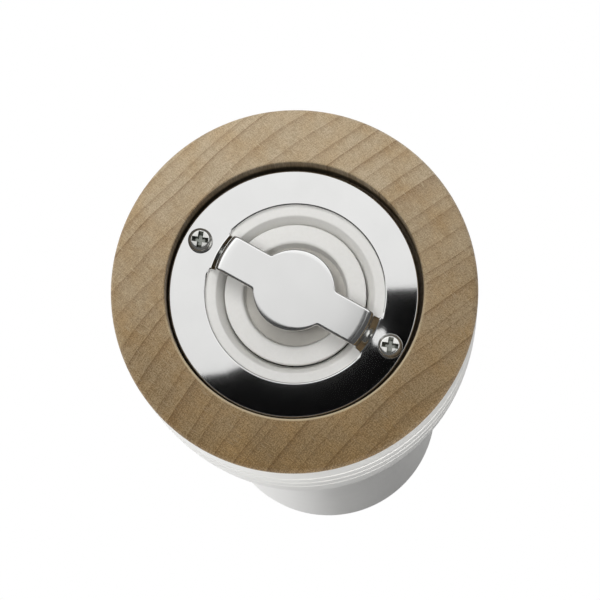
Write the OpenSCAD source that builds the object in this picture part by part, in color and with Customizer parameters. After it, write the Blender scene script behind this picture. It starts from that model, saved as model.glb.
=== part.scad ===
// Spice mill with a turned wooden body and a ceramic grinder.
// The head turns a square shaft and, at its lower end, the grinder's rotor.
// The knob on top draws the shaft up, which sets how finely the mill grinds.
// The mill stands on its foot: the foot's face is z = 0 and the shaft runs along Z.

/* [Turned body] */
// Outside diameter of the foot
foot_d = 58.6; // [56:0.2:62]
// Height of the straight band at the foot
foot_h = 10.5; // [8:0.5:13]
// Height of the body, from the foot's face to the head
body_h = 120; // [112:1:135]
// Diameter of the waist
waist_d = 39.4; // [38:0.2:42]
// Distance of the waist below the top of the body
waist_drop = 20; // [16:1:26]
// How long the body stays wide before it tapers
taper_delay = 1.5; // [1:0.1:1.8]
// Diameter of the body and head where they meet
neck_d = 41; // [40:0.2:44]
// Diameter of the spice chamber
chamber_d = 27; // [24:0.5:27.5]
// Rounding of the foot's outer edge
foot_round = 1; // [0.6:0.1:1.6]
// Rounding of the turned edges at the neck
neck_round = 0.8; // [0.4:0.1:1.2]
// Number of turned grooves above the foot band
groove_count = 3; // [1:1:4]
// Height from one groove to the next
groove_step = 6.5; // [5:0.5:8]
// Radius of the tool that turned the grooves
groove_r = 0.8; // [0.6:0.1:1.2]
// Depth of the grooves
groove_depth = 0.45; // [0.3:0.05:0.6]

/* [Foot recess] */
// Diameter of the recess for the base plate
recess_d = 41.3; // [41:0.1:43]
// Depth of the plate's face inside the foot
recess_depth = 4; // [3.6:0.1:5]
// Rounding of the recess's rim
recess_round = 0.7; // [0.4:0.1:1]

/* [Base plate] */
// Thickness of the steel sheet
plate_t = 0.8; // [0.6:0.05:1]
// Gap around the plate in its recess
plate_gap = 0.55; // [0.3:0.05:0.7]
// Width of the stator's face that shows inside the plate's hole
plate_reveal = 1.95; // [1.5:0.05:2.2]
// Rounding of the plate's pressed edges
plate_round = 0.25; // [0.1:0.05:0.25]
// Depth of the bridge's face inside the foot
bridge_inset = 0.4; // [0.2:0.05:0.7]
// Width of the bridge's bar
bar_w = 6.2; // [5:0.1:7.5]
// Diameter of the bridge's round centre
disc_d = 13.2; // [12:0.1:14.5]
// Radius in the corners between the bar and the round centre
bar_fillet = 0.6; // [0.3:0.1:1]
// Outer radius of the bends at the top of the bridge's legs
leg_bend = 1.4; // [1.1:0.1:1.6]
// Inner radius of the bends at the foot of the bridge's legs
toe_bend = 1; // [0.8:0.1:1.2]
// Flat land between the toe bends and the rim of the plate's hole
plate_land = 0.2; // [0.1:0.05:0.3]
// Radius in the corners between the bar and the rim of the plate's hole
toe_fillet = 0.5; // [0.3:0.1:0.8]

/* [Screws] */
// Diameter of a plate screw's head
screw_head_d = 4; // [3.6:0.1:4.4]
// Height of a plate screw's head
screw_head_h = 1.35; // [1.1:0.05:1.6]
// Diameter of a plate screw's shank
screw_d = 2.2; // [1.8:0.1:2.4]
// Length of a plate screw under its head
screw_len = 9; // [7:0.5:11]
// Wood left between a plate screw and the stator's bore
screw_wall = 1.3; // [1:0.1:1.5]
// Diameter of a drive plate screw's head
drive_screw_head_d = 3.6; // [3.2:0.1:4]
// Height of a drive plate screw's head
drive_screw_head_h = 1.1; // [0.9:0.05:1.3]
// Diameter of a drive plate screw's shank
drive_screw_d = 2; // [1.6:0.1:2.2]
// Length of a drive plate screw under its head
drive_screw_len = 9; // [7:0.5:12]
// Distance of the drive plate screws from the shaft
drive_screw_r = 8; // [7.2:0.1:8.4]
// Width of the slots in the cross recesses
cross_w = 0.55; // [0.4:0.05:0.65]
// Span of the cross recesses
cross_span = 2.3; // [1.8:0.1:2.5]

/* [Ceramic grinder] */
// Diameter of the rotor at its lower rim
rotor_d = 22.8; // [22:0.1:23.2]
// Diameter of the rotor at its top
rotor_top_d = 16.8; // [16:0.1:18]
// Height of the rotor
rotor_h = 13; // [12:0.1:14]
// Depth of the rotor's face behind the plate
rotor_inset = 0.5; // [0.3:0.05:0.8]
// Width of the rotor's face
rotor_face_w = 3.05; // [2.6:0.05:3.4]
// Depth of the hollow in the rotor's underside
rotor_hollow = 4; // [3.6:0.1:4.6]
// Height of the plain rim below the rotor's teeth
rotor_rim_h = 1.2; // [0.8:0.1:1.6]
// Number of grooves around the rotor
rotor_teeth = 16; // [10:1:18]
// Slant of the rotor's grooves, in degrees
rotor_slant = 14; // [0:1:20]
// Height of the stator
stator_h = 12; // [11:0.1:13]
// Gap between rotor and stator at the stator's mouth
grind_gap = 1.05; // [0.9:0.05:1.3]
// Gap between rotor and stator at the stator's throat
throat_gap = 0.35; // [0.3:0.05:0.6]
// Height of the stator's funnel mouth
mouth_h = 1.9; // [1.7:0.1:2.4]
// Width of the stator's face behind the plate
stator_lap = 0.6; // [0.5:0.05:0.9]
// Radius of the ribs that keep the stator from turning
rib_r = 1; // [0.7:0.1:1.2]
// Number of grooves inside the stator
stator_teeth = 20; // [12:1:24]
// Width of the grinder's grooves
tooth_w = 1.3; // [0.9:0.1:1.6]
// Depth of the grinder's grooves
tooth_depth = 0.8; // [0.5:0.1:1]

/* [Carrier and shaft] */
// Side of the square shaft
shaft_side = 6; // [5.4:0.1:6.2]
// Diameter over the shaft's turned corners
shaft_corner_d = 8.2; // [7.8:0.05:8.3]
// Diameter of the shaft's pivot
pivot_d = 5; // [4:0.1:5.2]
// Diameter of the neck that takes the clip
clip_neck_d = 4.4; // [3.6:0.1:4.8]
// Thickness of the clip
clip_t = 0.8; // [0.6:0.05:0.8]
// Outside diameter of the clip
clip_d = 10; // [9:0.1:11]
// Thickness of the steel washers
washer_t = 0.6; // [0.4:0.05:0.7]
// Outside diameter of the washer under the carrier
carrier_washer_d = 11.6; // [10.5:0.1:12]
// Thickness of the carrier's flange
carrier_flange_t = 1.8; // [1.4:0.1:2]
// Diameter over the corners of the carrier's hexagonal hub
carrier_hex_d = 12; // [11.6:0.1:12.4]
// Height of the carrier's hub above the rotor
carrier_stand = 1; // [0.5:0.1:1.5]
// Thickness of the pad under the pivot
pad_t = 1; // [0.8:0.1:1.3]
// Diameter of the pad under the pivot
pad_d = 7; // [6:0.1:8]
// Diameter of the shaft's thread
thread_d = 5; // [4:0.1:5.4]
// Rise of the shaft in one turn of the knob
thread_pitch = 0.8; // [0.6:0.05:0.8]
// Turns of the knob from coarse to fine
adjust_turns = 2; // [1:0.5:2]
// Length of the shaft's turned part inside the head
thread_in_head = 12; // [8:0.5:16]
// Length of thread above the head at the coarse setting
thread_reach = 8; // [6:0.5:9]

/* [Spring and guide] */
// Diameter of the spring's wire
spring_wire_d = 0.8; // [0.6:0.05:0.9]
// Mean diameter of the spring's curls
spring_d = 11.2; // [10.6:0.1:11.6]
// Number of curls
spring_turns = 6; // [4:1:6]
// Length of the spring at the coarse setting
spring_len = 9.2; // [8.6:0.1:11]
// Outside diameter of the washers at the spring's ends
spring_washer_d = 13; // [12.6:0.1:14]
// Thickness of the guide's three arms
guide_web_t = 3; // [2.4:0.1:4]
// Width of the guide's arms
guide_arm_w = 3; // [2.4:0.1:4]
// Outside diameter of the guide's hub
guide_hub_d = 13.6; // [13.2:0.1:14.6]
// Wall of the guide's ring
guide_wall = 1.4; // [1.2:0.1:1.6]

/* [Head] */
// Height of the head above the slip ring
head_h = 59; // [54:0.5:66]
// Greatest diameter of the head
head_d = 44.6; // [43:0.2:48]
// Height of the rounded crown
crown_h = 17; // [14:0.5:20]
// Flat rim around the washer on the crown
crown_rim = 0.7; // [0.5:0.1:1.5]
// Diameter of the washer on the crown
top_washer_d = 20; // [18.6:0.2:22]
// Thickness of the washer on the crown
top_washer_t = 1; // [0.8:0.1:1.4]
// Length of the slip ring's sleeve
ring_h = 8; // [7:0.5:10]
// Wall of the slip ring's sleeve
ring_wall = 1.5; // [1.2:0.1:1.6]
// Outside diameter of the slip ring's flange
ring_flange_d = 38; // [36.4:0.2:38.6]
// Thickness of the slip ring's flange
ring_flange_t = 1; // [0.8:0.1:1.4]
// Diameter of the head's spigot
spigot_d = 27.8; // [27.6:0.1:28.2]
// Thickness of the drive plate
drive_plate_t = 1.2; // [1:0.1:1.5]
// Space around the drive plate in the chamber
drive_plate_space = 1.5; // [1:0.1:2]

/* [Knob] */
// Greatest diameter of the knob
knob_d = 16.8; // [15.6:0.1:17.6]
// Thickness of the steel above the knob's bore
knob_cap = 4.4; // [3.6:0.1:6]
// Diameter of the knob's foot
knob_foot_d = 14.4; // [13.6:0.1:15]
// Height of the knob's foot band
knob_foot_h = 1.4; // [1:0.1:1.8]
// Height of the knob's rounded top
knob_dome_h = 6; // [5:0.1:6.5]
// Outside diameter of the brass insert
insert_d = 8; // [7.4:0.1:8.6]
// Height of the nylon ring above the insert
lock_ring_h = 1.4; // [1:0.1:1.6]
// Free length above the thread at the finest setting
bore_spare = 1; // [0.6:0.1:1.6]
// Depth of the cove between the knob's foot and its top
knob_cove = 1.2; // [0.8:0.1:1.5]

/* [Fits] */
// Radial clearance of a running fit
run_gap = 0.08; // [0.04:0.01:0.1]
// Radial clearance of a seated piece
seat_gap = 0.1; // [0.05:0.01:0.15]
// Clearance between faces that slide on each other
face_gap = 0.1; // [0.05:0.01:0.15]
// Radial clearance of a pressed or screwed fit
press_gap = 0.02; // [0.01:0.01:0.04]
// Clearance of the square drive on each side
square_gap = 0.1; // [0.06:0.01:0.15]
// Radial clearance of a hole that a shank or shaft only passes
pass_gap = 0.5; // [0.3:0.05:0.6]

/* [Hidden] */
$fn = 96;

// Colours of the materials
white_lacquer = "#f1efe9";
polished_steel = "#c9ccce";
plated_steel = "#b9bbbd";
white_ceramic = "#f4f3ef";
white_plastic = "#e6e5df";
raw_aluminium = "#aeb1b4";
yellow_brass = "#c9a24a";

// Cut past a face so that no skin is left
cut = 1;
// Overlap where two rims would only touch
lap = 0.02;
// Shares of a screw head's height below its dome and in its cross recess
rim_share = 0.35;
recess_share = 0.6;
// Share of the clip's neck that the clip's mouth opens
clip_mouth_share = 0.8;
// Angle below the knob's widest line where its cove begins
dome_under_angle = -40;
// Steps along a quarter round, along the body's taper and along a knob or crown
round_steps = 8;
taper_steps = 40;
crown_steps = 20;

// How far the shaft and rotor rise from the coarse to the fine setting
adjust_rise = thread_pitch * adjust_turns;

// Radii from the grinder outwards
rotor_r = rotor_d / 2;
throat_r = rotor_r + throat_gap;
mouth_r = rotor_r + grind_gap;
hole_r = mouth_r + plate_reveal;
stator_r = hole_r + stator_lap;
stator_seat_r = stator_r + seat_gap;
screw_r = stator_seat_r + screw_wall + screw_d / 2;
recess_r = recess_d / 2;
plate_r = recess_r - plate_gap;
foot_r = foot_d / 2;
chamber_r = chamber_d / 2;
neck_r = neck_d / 2;
waist_r = waist_d / 2;
hollow_r = rotor_r - rotor_face_w;
corner_r = shaft_corner_d / 2;
guide_bore_r = corner_r + run_gap;
shaft_pass_r = corner_r + pass_gap;
spigot_r = spigot_d / 2;
ring_bore_r = spigot_r + run_gap;
ring_r = ring_bore_r + ring_wall;
neck_bore_r = ring_r + seat_gap;
drive_plate_r = chamber_r - drive_plate_space;
crown_r = top_washer_d / 2 + seat_gap + crown_rim;
insert_r = insert_d / 2;
insert_seat_r = insert_r + press_gap;
thread_r = thread_d / 2;
insert_bore_r = thread_r + run_gap;

// Heights from the foot upwards
plate_z = recess_depth;
seat_z = plate_z + plate_t;
bridge_back_z = bridge_inset + plate_t;
pad_top_z = bridge_back_z + pad_t;
pivot_z = pad_top_z + face_gap;
stator_top_z = seat_z + stator_h;
rotor_z = seat_z + rotor_inset;
rotor_top_z = rotor_z + rotor_h;
flange_top_z = rotor_z + rotor_hollow;
flange_z = flange_top_z - carrier_flange_t;
carrier_top_z = rotor_top_z + carrier_stand;
carrier_washer_z = flange_z - washer_t;
clip_z = carrier_washer_z - clip_t;
collar_z = clip_z - clip_t;
thrust_z = carrier_top_z + face_gap;
spring_z = thrust_z + washer_t;
spring_top_z = spring_z + spring_len;
guide_hub_z = spring_top_z + washer_t;
guide_top_z = guide_hub_z + guide_web_t;
ring_z = body_h - ring_h;
flange_under_z = body_h + face_gap;
head_z = flange_under_z + ring_flange_t + face_gap;
spigot_z = ring_z + 3 * face_gap;
drive_plate_z = spigot_z - drive_plate_t;
head_top_z = head_z + head_h;
washer_z = head_top_z - top_washer_t;
square_top_z = head_top_z - thread_in_head;
thread_top_z = head_top_z + thread_reach;
knob_z = head_top_z + face_gap;
lock_top_z = thread_top_z + adjust_rise + bore_spare;
insert_top_z = lock_top_z - lock_ring_h;
knob_top_z = lock_top_z + knob_cap;

// Points of an arc around [x, z]
function arc(x, z, r, from, to) = [for (i = [0:round_steps])
    let (a = from + (to - from) * i / round_steps) [x + r * cos(a), z + r * sin(a)]];

// A value that leaves 0 and reaches 1 level
function ease(t) = t * t * (3 - 2 * t);

// Radius of the body's outside at a height
waist_z = body_h - waist_drop;
taper_h = waist_z - foot_h;
flare_h = waist_drop - neck_round;
function body_r(z) =
    z <= foot_h ? foot_r :
    z <= waist_z ? foot_r + (waist_r - foot_r) * ease(pow((z - foot_h) / taper_h, taper_delay)) :
    waist_r + (neck_r - waist_r) * ease((z - waist_z) / flare_h);

// Outline of the body's outside, from the foot's edge to the neck's
body_side = [for (i = [0:taper_steps])
    let (z = foot_h + (body_h - neck_round - foot_h) * i / taper_steps) [body_r(z), z]];

// Outline of the head's outside, from its rim to the crown
head_wide_z = head_top_z - crown_h;
head_rim_z = head_z + neck_round;
head_r = head_d / 2;
head_side = [for (i = [0:crown_steps])
    let (t = i / crown_steps)
    [neck_r + (head_r - neck_r) * ease(t), head_rim_z + (head_wide_z - head_rim_z) * t]];
crown_side = [for (i = [1:crown_steps])
    let (a = 90 * i / crown_steps)
    [crown_r + (head_r - crown_r) * cos(a), head_wide_z + crown_h * sin(a)]];

// A flat ring
module ring(outer_r, inner_r, z, h) {
    translate([0, 0, z]) difference() {
        cylinder(r = outer_r, h = h);
        translate([0, 0, -cut]) cylinder(r = inner_r, h = h + 2 * cut);
    }
}

// A square hole or bar along the shaft
module square_bar(side, z, h) {
    translate([-side / 2, -side / 2, z]) cube([side, side, h]);
}

// A copy on each side of the shaft, along X
module each_side(r) {
    for (side = [-1, 1]) translate([side * r, 0, 0]) children();
}

// A pan-head screw whose head looks down and bears at z = 0
module pan_screw(head_d, head_h, shank_d, shank_len) {
    rim_h = head_h * rim_share;
    recess_h = head_h * recess_share;
    tip_h = shank_d;
    dome = [for (i = [0:round_steps])
        let (a = 90 * i / round_steps)
        [head_d / 2 * cos(a), -rim_h - (head_h - rim_h) * sin(a)]];
    difference() {
        rotate_extrude() polygon(concat([[0, 0], [head_d / 2, 0]], dome));
        for (turn = [45, 135]) rotate([0, 0, turn])
            translate([-cross_span / 2, -cross_w / 2, -head_h - cut])
                cube([cross_span, cross_w, recess_h + cut]);
    }
    cylinder(d = shank_d, h = shank_len - tip_h);
    translate([0, 0, shank_len - tip_h]) cylinder(d1 = shank_d, d2 = shank_d / 4, h = tip_h);
}

// Turned wooden body with the chamber, the grinder's seat and the foot's recess
module body() {
    outline = concat(
        arc(recess_r + recess_round, recess_round, recess_round, 180, 270),
        arc(foot_r - foot_round, foot_round, foot_round, 270, 360),
        body_side,
        arc(neck_r - neck_round, body_h - neck_round, neck_round, 0, 90),
        [[neck_bore_r, body_h], [neck_bore_r, ring_z], [chamber_r, ring_z]],
        [[chamber_r, guide_top_z], [stator_seat_r, guide_top_z]],
        [[stator_seat_r, seat_z], [recess_r, seat_z]]);
    color(white_lacquer) difference() {
        rotate_extrude() polygon(outline);
        for (i = [0:groove_count - 1]) body_groove(foot_h + i * groove_step);
        each_side(screw_r) translate([0, 0, seat_z - cut])
            cylinder(r = screw_d / 2 + press_gap, h = screw_len + cut);
        for (side = [-1, 1]) translate([0, side * stator_r, seat_z - cut])
            cylinder(r = rib_r + seat_gap, h = stator_h + cut);
    }
}

// One turned groove around the body
module body_groove(z) {
    rotate_extrude() translate([body_r(z) + groove_r - groove_depth, z]) circle(groove_r);
}

// Side view of half the plate, from the shaft to its rim, with the foot's face below
module plate_side() {
    leg_r = hole_r - plate_land - toe_bend;
    flat_r = leg_r - leg_bend;
    bend_z = bridge_inset + leg_bend;
    toe_z = plate_z - toe_bend;
    toe_r = leg_r + toe_bend;
    rim = arc(plate_r - plate_round, plate_z + plate_round, plate_round, 270, 360);
    translate([0, bridge_inset]) square([flat_r, plate_t]);
    translate([flat_r, bend_z]) bend(leg_bend, 270);
    translate([leg_r - plate_t, bend_z]) square([plate_t, toe_z - bend_z]);
    translate([toe_r, toe_z]) bend(toe_bend + plate_t, 90);
    polygon(concat([[toe_r, plate_z]], rim, [[plate_r, seat_z], [toe_r, seat_z]]));
}

// A quarter bend of the plate's sheet around a corner
module bend(outer_r, turn) {
    rotate(turn) intersection() {
        difference() {
            circle(outer_r);
            circle(outer_r - plate_t);
        }
        square(outer_r);
    }
}

// Plan of the bridge: the bar, the round centre and the corners at both
module bridge_plan() {
    reach = hole_r + cut;
    disc_y = bar_w / 2 + bar_fillet;
    disc_turn = disc_d / 2 - lap + bar_fillet;
    disc_x = sqrt(pow(disc_turn, 2) - pow(disc_y, 2));
    disc_meet = (disc_d / 2 - 2 * lap) / disc_turn;
    toe_y = bar_w / 2 + toe_fillet;
    toe_turn = hole_r + lap - toe_fillet;
    toe_x = sqrt(pow(toe_turn, 2) - pow(toe_y, 2));
    translate([-reach, -bar_w / 2]) square([2 * reach, bar_w]);
    circle(disc_d / 2);
    for (a = [0, 1], b = [0, 1]) mirror([a, 0]) mirror([0, b]) {
        corner_fill(disc_x, disc_y, bar_fillet, disc_x * disc_meet, disc_meet);
        corner_fill(toe_x, toe_y, toe_fillet, reach, reach / toe_turn);
    }
}

// Fills the corner between the bar and a round rim, up to an arc around [x, y]
module corner_fill(x, y, r, root_x, meet) {
    difference() {
        polygon([[x, y], [x, y - 2 * r], [root_x, y - 2 * r], [x * meet, y * meet]]);
        translate([x, y]) circle(r);
    }
}

// Stamped steel plate, with the bridge left between two windows
module base_plate() {
    color(polished_steel) difference() {
        rotate_extrude() plate_side();
        linear_extrude(seat_z + cut) difference() {
            circle(hole_r);
            bridge_plan();
        }
        each_side(screw_r) translate([0, 0, plate_z - cut])
            cylinder(r = screw_d / 2 + pass_gap, h = plate_t + 2 * cut);
    }
}

// Two screws that hold the base plate
module base_plate_screws() {
    color(plated_steel) each_side(screw_r) translate([0, 0, plate_z])
        pan_screw(screw_head_d, screw_head_h, screw_d, screw_len);
}

// Plastic pad on the bridge's back, under the shaft's pivot
module pivot_pad() {
    color(white_plastic) translate([0, 0, bridge_back_z]) cylinder(d = pad_d, h = pad_t);
}

// Fixed outer ring of the grinder
module stator_ring() {
    throat_z = seat_z + mouth_h;
    teeth_z = throat_z + mouth_h;
    outline = [[mouth_r, seat_z], [stator_r, seat_z], [stator_r, stator_top_z],
        [throat_r, stator_top_z], [throat_r, throat_z]];
    color(white_ceramic) difference() {
        union() {
            rotate_extrude() polygon(outline);
            for (side = [-1, 1]) translate([0, side * stator_r, seat_z])
                cylinder(r = rib_r, h = stator_h);
        }
        for (i = [0:stator_teeth - 1]) rotate([0, 0, 360 * i / stator_teeth])
            translate([throat_r - tooth_depth, -tooth_w / 2, teeth_z])
                cube([2 * tooth_depth, tooth_w, stator_h]);
    }
}

// Turning cone of the grinder
module rotor() {
    rim_top_z = rotor_z + rotor_rim_h;
    slope = atan2((rotor_d - rotor_top_d) / 2, rotor_h - rotor_rim_h);
    outline = [[hollow_r, rotor_z], [rotor_r, rotor_z], [rotor_r, rim_top_z],
        [rotor_top_d / 2, rotor_top_z], [0, rotor_top_z], [0, flange_top_z],
        [hollow_r, flange_top_z]];
    color(white_ceramic) difference() {
        rotate_extrude() polygon(outline);
        translate([0, 0, rotor_z]) cylinder(d = carrier_hex_d + 2 * seat_gap, h = rotor_h + cut, $fn = 6);
        for (i = [0:rotor_teeth - 1]) rotate([0, 0, 360 * i / rotor_teeth])
            translate([rotor_r, 0, rim_top_z + tooth_w]) rotate([rotor_slant, -slope, 0])
                translate([-tooth_depth, -tooth_w / 2, 0])
                    cube([2 * tooth_depth, tooth_w, 2 * rotor_h]);
    }
}

// Plastic driver between the square shaft and the rotor
module rotor_carrier() {
    color(white_plastic) difference() {
        union() {
            translate([0, 0, flange_z]) cylinder(r = hollow_r - seat_gap, h = carrier_flange_t);
            translate([0, 0, flange_z])
                cylinder(d = carrier_hex_d, h = carrier_top_z - flange_z, $fn = 6);
        }
        square_bar(shaft_side + 2 * square_gap, flange_z - cut, carrier_top_z - flange_z + 2 * cut);
    }
}

// Steel washer under the carrier
module carrier_washer() {
    color(plated_steel) ring(carrier_washer_d / 2, guide_bore_r, carrier_washer_z, washer_t);
}

// Retaining clip in the shaft's neck
module shaft_clip() {
    mouth_w = clip_neck_d * clip_mouth_share;
    color(plated_steel) difference() {
        ring(clip_d / 2, clip_neck_d / 2 + press_gap, clip_z, clip_t);
        translate([0, -mouth_w / 2, clip_z - cut]) cube([clip_d, mouth_w, clip_t + 2 * cut]);
    }
}

// Square shaft with its pivot, clip neck and threaded end
module drive_shaft() {
    color(raw_aluminium) {
        translate([0, 0, pivot_z]) cylinder(d = pivot_d, h = collar_z - pivot_z);
        turned_square(collar_z, clip_z - press_gap);
        translate([0, 0, clip_z - press_gap])
            cylinder(d = clip_neck_d, h = clip_t + 2 * press_gap);
        turned_square(clip_z + clip_t + press_gap, square_top_z);
        translate([0, 0, square_top_z]) cylinder(r = thread_r, h = thread_top_z - square_top_z);
    }
}

// A length of square bar with its corners turned round
module turned_square(from_z, to_z) {
    intersection() {
        square_bar(shaft_side, from_z, to_z - from_z);
        translate([0, 0, from_z]) cylinder(r = corner_r, h = to_z - from_z);
    }
}

// Washer between the turning carrier and the spring
module thrust_washer() {
    color(plated_steel) ring(spring_washer_d / 2, guide_bore_r, thrust_z, washer_t);
}

// Washer between the spring and the guide
module spring_seat() {
    color(plated_steel) ring(spring_washer_d / 2, guide_bore_r, spring_top_z, washer_t);
}

// Compression spring around the shaft, one tube swept along a helix
spring_sides = 6;
spring_rings = 8 * spring_turns;
spring_pitch = (spring_len - spring_wire_d) / spring_turns;
spring_points = [for (i = [0:spring_rings])
    let (turn = 360 * spring_turns * i / spring_rings,
        z = spring_z + spring_wire_d / 2 + spring_pitch * spring_turns * i / spring_rings)
    for (j = [0:spring_sides - 1])
        let (a = 360 * j / spring_sides, r = spring_d / 2 + spring_wire_d / 2 * cos(a))
        [r * cos(turn), r * sin(turn), z + spring_wire_d / 2 * sin(a)]];
spring_faces = concat(
    [for (i = [0:spring_rings - 1], j = [0:spring_sides - 1])
        [i * spring_sides + j, (i + 1) * spring_sides + j,
            (i + 1) * spring_sides + (j + 1) % spring_sides]],
    [for (i = [0:spring_rings - 1], j = [0:spring_sides - 1])
        [i * spring_sides + j, (i + 1) * spring_sides + (j + 1) % spring_sides,
            i * spring_sides + (j + 1) % spring_sides]],
    [for (j = [1:spring_sides - 2]) [0, j, j + 1]],
    [for (j = [1:spring_sides - 2])
        [spring_rings * spring_sides, spring_rings * spring_sides + j + 1,
            spring_rings * spring_sides + j]]);
spring_curl = 8 * spring_sides;
spring_gap = min([for (i = [0:len(spring_points) - 1 - spring_curl])
    for (j = [0:spring_sides - 1])
        norm(spring_points[i] -
            spring_points[spring_curl + i - i % spring_sides + j])]);
echo(spring_gap = spring_gap);

module grinder_spring() {
    color(plated_steel) polyhedron(spring_points, spring_faces);
}

// Plastic ring with three arms that guides the shaft above the grinder
module shaft_guide() {
    guide_r = stator_seat_r - seat_gap;
    web_z = guide_top_z - guide_web_t;
    color(white_plastic) difference() {
        union() {
            ring(guide_r, guide_r - guide_wall, stator_top_z, guide_top_z - stator_top_z);
            translate([0, 0, web_z]) cylinder(d = guide_hub_d, h = guide_web_t);
            for (turn = [30, 150, 270]) rotate([0, 0, turn])
                translate([0, -guide_arm_w / 2, web_z])
                    cube([guide_r - guide_wall / 2, guide_arm_w, guide_web_t]);
        }
        translate([0, 0, web_z - cut]) cylinder(r = guide_bore_r, h = guide_web_t + 2 * cut);
    }
}

// Plastic ring in the body's mouth on which the head turns
module slip_ring() {
    outline = [[ring_bore_r, ring_z + face_gap], [ring_r, ring_z + face_gap],
        [ring_r, flange_under_z], [ring_flange_d / 2, flange_under_z],
        [ring_flange_d / 2, flange_under_z + ring_flange_t],
        [ring_bore_r, flange_under_z + ring_flange_t]];
    color(white_plastic) rotate_extrude() polygon(outline);
}

// Turned wooden head with its spigot and the crown's washer seat
module head() {
    washer_seat_r = top_washer_d / 2 + seat_gap;
    outline = concat(
        [[shaft_pass_r, spigot_z], [spigot_r, spigot_z], [spigot_r, head_z]],
        arc(neck_r - neck_round, head_z + neck_round, neck_round, 270, 360),
        [for (i = [1:crown_steps]) head_side[i]],
        crown_side,
        [[washer_seat_r, head_top_z], [washer_seat_r, washer_z], [shaft_pass_r, washer_z]]);
    color(white_lacquer) difference() {
        rotate_extrude() polygon(outline);
        each_side(drive_screw_r) translate([0, 0, spigot_z - cut])
            cylinder(r = drive_screw_d / 2 + press_gap, h = drive_screw_len + cut);
    }
}

// Steel plate with the square hole that turns the shaft
module drive_plate() {
    color(plated_steel) difference() {
        translate([0, 0, drive_plate_z]) cylinder(r = drive_plate_r, h = drive_plate_t);
        square_bar(shaft_side + 2 * square_gap, drive_plate_z - cut, drive_plate_t + 2 * cut);
        each_side(drive_screw_r) translate([0, 0, drive_plate_z - cut])
            cylinder(r = drive_screw_d / 2 + seat_gap, h = drive_plate_t + 2 * cut);
    }
}

// Two screws that hold the drive plate
module drive_plate_screws() {
    color(plated_steel) each_side(drive_screw_r) translate([0, 0, drive_plate_z])
        pan_screw(drive_screw_head_d, drive_screw_head_h, drive_screw_d, drive_screw_len);
}

// Steel washer let into the crown
module top_washer() {
    color(polished_steel) ring(top_washer_d / 2, thread_r + pass_gap, washer_z, top_washer_t);
}

// Steel adjusting knob
module knob() {
    dome_z = knob_top_z - knob_dome_h;
    dome = [for (i = [0:crown_steps])
        let (a = dome_under_angle + (90 - dome_under_angle) * i / crown_steps)
        [knob_d / 2 * cos(a), dome_z + knob_dome_h * sin(a)]];
    foot = [knob_foot_d / 2, knob_z + knob_foot_h];
    cove = [for (i = [0:round_steps - 1])
        let (t = i / round_steps)
        foot + (dome[0] - foot) * t - [knob_cove * sin(180 * t), 0]];
    outline = concat([[insert_seat_r, knob_z], [knob_foot_d / 2, knob_z]], cove, dome,
        [[0, lock_top_z], [insert_seat_r, lock_top_z]]);
    color(polished_steel) rotate_extrude() polygon(outline);
}

// Threaded brass bush in the knob
module knob_insert() {
    color(yellow_brass) ring(insert_r, insert_bore_r, knob_z, insert_top_z - knob_z);
}

// Nylon ring that keeps the knob where it is set
module knob_lock_ring() {
    color(white_plastic) ring(insert_r, insert_bore_r, insert_top_z, lock_ring_h);
}

body();
base_plate();
base_plate_screws();
pivot_pad();
stator_ring();
shaft_guide();
spring_seat();
grinder_spring();
thrust_washer();
rotor();
rotor_carrier();
carrier_washer();
shaft_clip();
drive_shaft();
slip_ring();
head();
drive_plate();
drive_plate_screws();
top_washer();
knob();
knob_insert();
knob_lock_ring();
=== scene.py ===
# %% [markdown]
# # A wooden spice mill, seen from below
# The mill stands upright on its foot. The picture looks up at the foot, where a steel plate with
# a raised bridge holds a ceramic grinder in bare beech. The CAD model gives every place and size.
# This lesson adds what the eye looks for: rounded edges, end grain, lacquer and polished sheet.

# %% Load the CAD model
import math

import bpy
from mathutils import Matrix, Vector


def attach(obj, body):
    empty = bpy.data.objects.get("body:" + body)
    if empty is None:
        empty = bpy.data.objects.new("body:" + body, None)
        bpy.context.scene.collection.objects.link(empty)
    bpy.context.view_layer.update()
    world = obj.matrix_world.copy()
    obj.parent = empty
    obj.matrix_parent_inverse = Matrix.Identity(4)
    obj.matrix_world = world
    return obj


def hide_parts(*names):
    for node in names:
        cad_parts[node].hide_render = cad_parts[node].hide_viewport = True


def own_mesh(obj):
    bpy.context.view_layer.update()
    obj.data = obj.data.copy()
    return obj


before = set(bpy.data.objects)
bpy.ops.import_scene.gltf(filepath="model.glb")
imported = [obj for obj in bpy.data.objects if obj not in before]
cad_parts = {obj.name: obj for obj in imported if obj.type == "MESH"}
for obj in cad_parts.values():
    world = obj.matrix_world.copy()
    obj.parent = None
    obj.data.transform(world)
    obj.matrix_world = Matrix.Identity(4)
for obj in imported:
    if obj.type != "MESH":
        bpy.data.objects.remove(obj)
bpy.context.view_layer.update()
MM = 0.001
bpy.context.scene.view_settings.view_transform = "Standard"
print("CAD nodes:", len(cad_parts))

# %% [markdown]
# ## The camera
# The photographer stood half a metre from the foot with a long lens, a little off the mill's
# axis. The camera could be turned by hand until it fits. Here its place is worked out from four
# numbers, because a lean, a turn, a distance and a lens can each be checked in the picture.

# %% Camera from a lean, a turn, a distance and a lens
PICTURE = 600
BAR_TURN = math.radians(29.3)
LEAN = math.radians(9)
LEAN_TURN = math.radians(44.6)
DISTANCE = 500 * MM
LENS_PIXELS = 3148
RING_CENTRE = (293.8, 289.4)

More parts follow.
